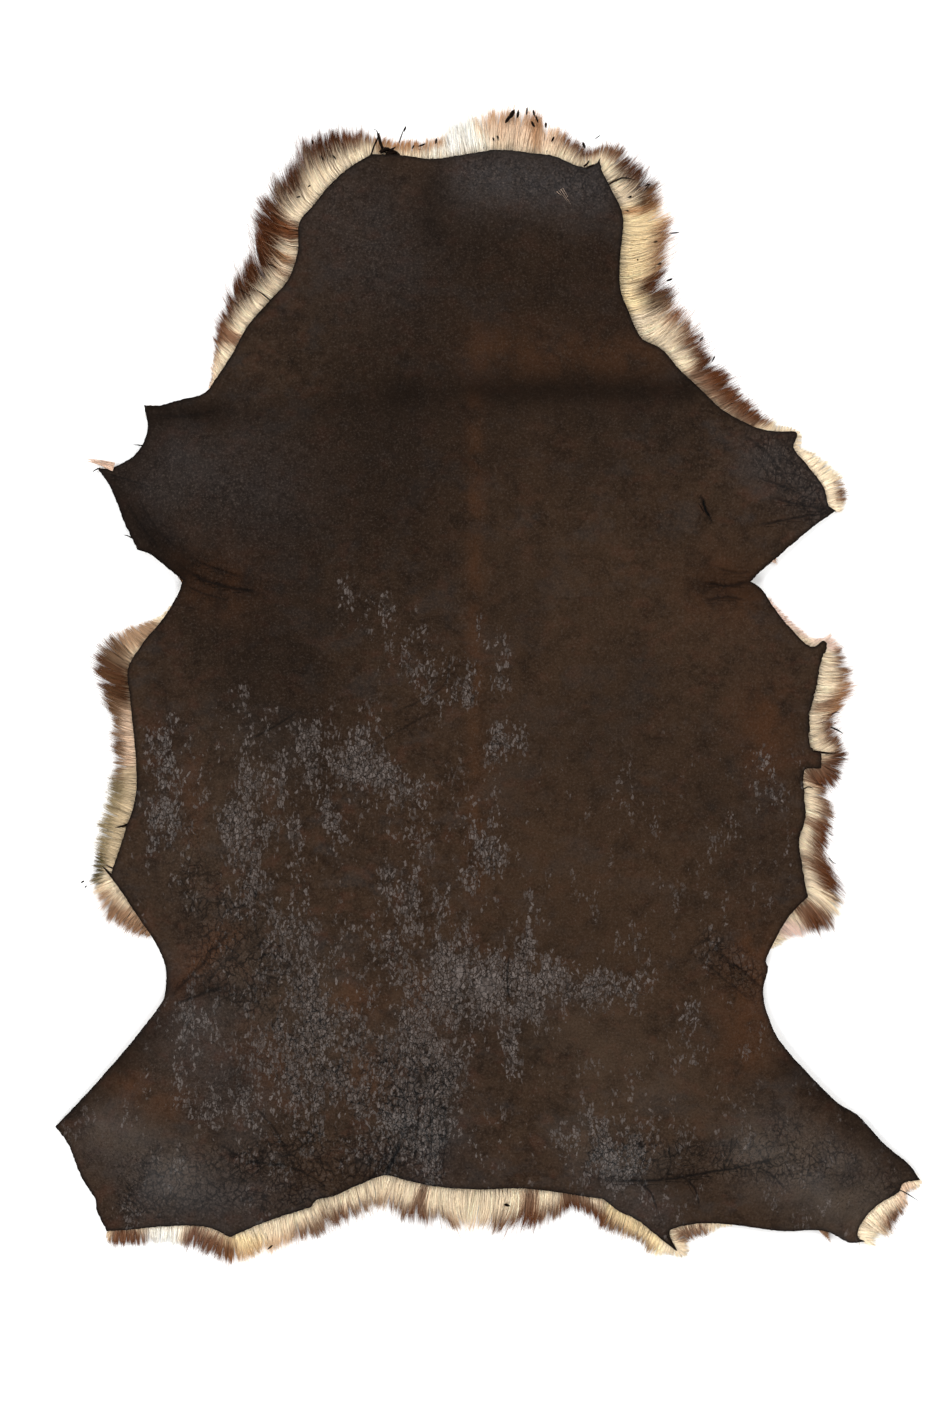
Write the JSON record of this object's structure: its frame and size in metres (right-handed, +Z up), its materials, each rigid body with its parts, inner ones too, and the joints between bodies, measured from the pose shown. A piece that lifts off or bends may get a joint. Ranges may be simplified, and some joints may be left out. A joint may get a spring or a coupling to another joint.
{
  "type": "sheepskin",
  "caption": "Whole tanned sheepskin laid flat, hair side down, dark leather side up, with neck, legs and tail edge and a rim of cream and brown hair.",
  "frame": {"origin": "middle of the whole outline, hair included, on the surface the hide lies on", "axes": "+Y from the tail to the neck, +X across the back to the right as seen from above, +Z up out of the leather side"},
  "size_m": [0.867, 1.1584, 0.0315],
  "materials": {
    "leather": "dark brown tanned skin side, matt with glazed patches",
    "fleece": "straight glossy hair, cream at the roots with brown tips"
  },
  "bodies": {
    "root": {"hide": "leather"}
  },
  "joints": []
}
